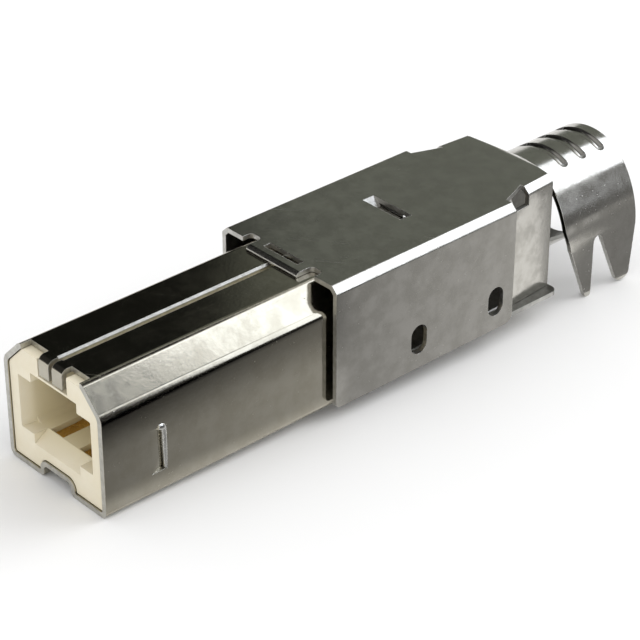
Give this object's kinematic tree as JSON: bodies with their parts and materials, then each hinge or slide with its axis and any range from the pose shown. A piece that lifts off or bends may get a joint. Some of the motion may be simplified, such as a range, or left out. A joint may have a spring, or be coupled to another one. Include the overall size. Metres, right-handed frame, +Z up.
{
  "type": "usb-b plug",
  "caption": "Solder-type USB-B cable plug with a folded metal mating shell, an ivory insulator and a two-part metal rear cover that ends in an open crimp barrel with claws.",
  "frame": {"origin": "centre of the shell's outline at the mating face", "axes": "+Y along the plug from the mating face towards the cable, +Z up towards the bevelled side, +X to the right seen from the cable end"},
  "size_m": [0.0096, 0.0415, 0.0094],
  "materials": {
    "bright_tin": "bright plated",
    "cover_tin": "bright plated, lightly scuffed",
    "ivory_plastic": "satin",
    "gold": "gold plated"
  },
  "bodies": {
    "root": {"front_shell": "bright_tin", "upper_cover": "cover_tin", "lower_cover": "cover_tin", "insulator": "ivory_plastic", "contact_upper_left": "gold", "contact_upper_right": "gold", "contact_lower_left": "gold", "contact_lower_right": "gold"}
  },
  "joints": []
}
